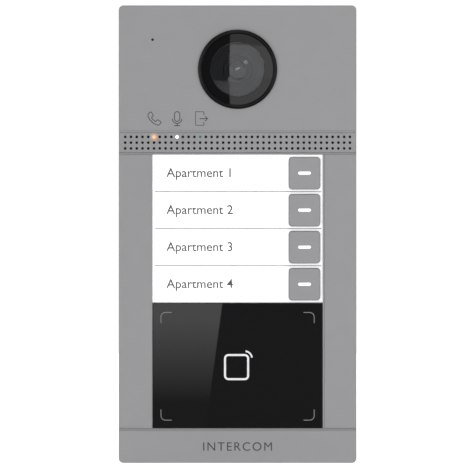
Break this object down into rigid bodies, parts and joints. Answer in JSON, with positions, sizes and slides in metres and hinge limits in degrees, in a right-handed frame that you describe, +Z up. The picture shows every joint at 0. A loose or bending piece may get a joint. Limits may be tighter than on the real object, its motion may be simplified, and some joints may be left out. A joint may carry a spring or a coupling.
{
  "type": "door intercom panel",
  "caption": "Wall-mounted door station with a camera dome, speaker grille, status lights, call buttons beside lit name plates, a card reader and a wall plate.",
  "frame": {"origin": "centre of the four wall screw holes, on the plane of the wall", "axes": "+Z up the panel, +Y into the wall, +X to the right as seen from the front; the face looks along -Y"},
  "size_m": [0.12, 0.033, 0.231],
  "materials": {
    "housing_paint": "satin silver-grey paint on a die casting",
    "grille_paint": "satin silver-grey paint on pierced sheet",
    "button_paint": "satin silver-grey",
    "mark_white": "translucent white",
    "card_white": "matt printed card",
    "clear_cover": "clear acrylic, gloss",
    "tray_white": "matt white",
    "reader_black": "black acrylic, gloss",
    "bezel_black": "black, semi-gloss",
    "dome_tint": "smoked clear dome",
    "lens_black": "matt black",
    "lens_coated": "coated glass",
    "black_seal": "matt black silicone",
    "grille_cloth": "black acoustic cloth",
    "speaker_black": "moulded black",
    "magnet_steel": "plated",
    "capsule_metal": "satin",
    "lead_red": "insulated wire",
    "mat_silicone": "milky silicone",
    "switch_black": "moulded",
    "plunger_white": "smooth",
    "board_green": "solder mask",
    "antenna_board": "solder mask with copper turns",
    "chip_black": "moulded packages",
    "ribbon_film": "amber film",
    "call_light": "orange light pipe",
    "talk_light": "white light pipe",
    "unlock_light": "green light pipe",
    "socket_metal": "plated shield",
    "terminal_green": "moulded",
    "shell_black": "fine spark texture",
    "screw_steel": "zinc plated",
    "plate_steel": "zinc plated sheet"
  },
  "bodies": {
    "station": {"front_housing": "housing_paint", "grille_strip": "grille_paint", "name_card_1": "card_white", "name_card_2": "card_white", "name_card_3": "card_white", "name_card_4": "card_white", "name_window_1": "clear_cover", "name_window_2": "clear_cover", "name_window_3": "clear_cover", "name_window_4": "clear_cover", "nameplate_tray": "tray_white", "reader_window": "reader_black", "camera_bezel": "bezel_black", "dome_cover": "dome_tint", "lens_hood": "lens_black", "lens_barrel": "lens_black", "lens_holder": "lens_black", "lens_glass": "lens_coated", "dome_gasket": "black_seal", "module_seal": "black_seal", "rear_seal": "black_seal", "speaker_gasket": "black_seal", "microphone_boot": "black_seal", "grille_cloth": "grille_cloth", "speaker_frame": "speaker_black", "speaker_cone": "speaker_black", "speaker_magnet": "magnet_steel", "microphone": "capsule_metal", "audio_leads": "lead_red", "keypad_mat": "mat_silicone", "key_switches": "switch_black", "tamper_switch": "switch_black", "key_board": "board_green", "main_board": "board_green", "camera_board": "board_green", "reader_board": "antenna_board", "board_chips": "chip_black", "camera_ribbon": "ribbon_film", "light_pipe_call": "call_light", "light_pipe_talk": "talk_light", "light_pipe_unlock": "unlock_light", "network_socket": "socket_metal", "terminal_blocks": "terminal_green", "rear_shell": "shell_black", "case_screws": "screw_steel", "set_screws": "screw_steel", "wall_plate": "plate_steel"},
    "button_1": {"call_button_1": "button_paint", "button_mark_1": "mark_white"},
    "switch_1": {"switch_plunger_1": "plunger_white"},
    "button_2": {"call_button_2": "button_paint", "button_mark_2": "mark_white"},
    "switch_2": {"switch_plunger_2": "plunger_white"},
    "button_3": {"call_button_3": "button_paint", "button_mark_3": "mark_white"},
    "switch_3": {"switch_plunger_3": "plunger_white"},
    "button_4": {"call_button_4": "button_paint", "button_mark_4": "mark_white"},
    "switch_4": {"switch_plunger_4": "plunger_white"},
    "tamper": {"tamper_plunger": "plunger_white"}
  },
  "joints": [
    {"name": "call_press_1", "type": "slide", "parent": "station", "child": "button_1", "axis": [0, 1, 0], "range_m": [0, 0.0008], "stiffness_N_per_m": 1500, "deforming": ["keypad_mat"]},
    {"name": "call_press_2", "type": "slide", "parent": "station", "child": "button_2", "axis": [0, 1, 0], "range_m": [0, 0.0008], "stiffness_N_per_m": 1500, "deforming": ["keypad_mat"]},
    {"name": "call_press_3", "type": "slide", "parent": "station", "child": "button_3", "axis": [0, 1, 0], "range_m": [0, 0.0008], "stiffness_N_per_m": 1500, "deforming": ["keypad_mat"]},
    {"name": "call_press_4", "type": "slide", "parent": "station", "child": "button_4", "axis": [0, 1, 0], "range_m": [0, 0.0008], "stiffness_N_per_m": 1500, "deforming": ["keypad_mat"]},
    {"name": "switch_press_1", "type": "slide", "parent": "station", "child": "switch_1", "axis": [0, 1, 0], "range_m": [0, 0.0003]},
    {"name": "switch_press_2", "type": "slide", "parent": "station", "child": "switch_2", "axis": [0, 1, 0], "range_m": [0, 0.0003]},
    {"name": "switch_press_3", "type": "slide", "parent": "station", "child": "switch_3", "axis": [0, 1, 0], "range_m": [0, 0.0003]},
    {"name": "switch_press_4", "type": "slide", "parent": "station", "child": "switch_4", "axis": [0, 1, 0], "range_m": [0, 0.0003]},
    {"name": "tamper_release", "type": "slide", "parent": "station", "child": "tamper", "axis": [0, 1, 0], "range_m": [0, 0.0015], "stiffness_N_per_m": 200}
  ],
  "couplings": [
    {"joint": "switch_press_1", "follows": "call_press_1", "ratio": 0.375},
    {"joint": "switch_press_2", "follows": "call_press_2", "ratio": 0.375},
    {"joint": "switch_press_3", "follows": "call_press_3", "ratio": 0.375},
    {"joint": "switch_press_4", "follows": "call_press_4", "ratio": 0.375}
  ]
}
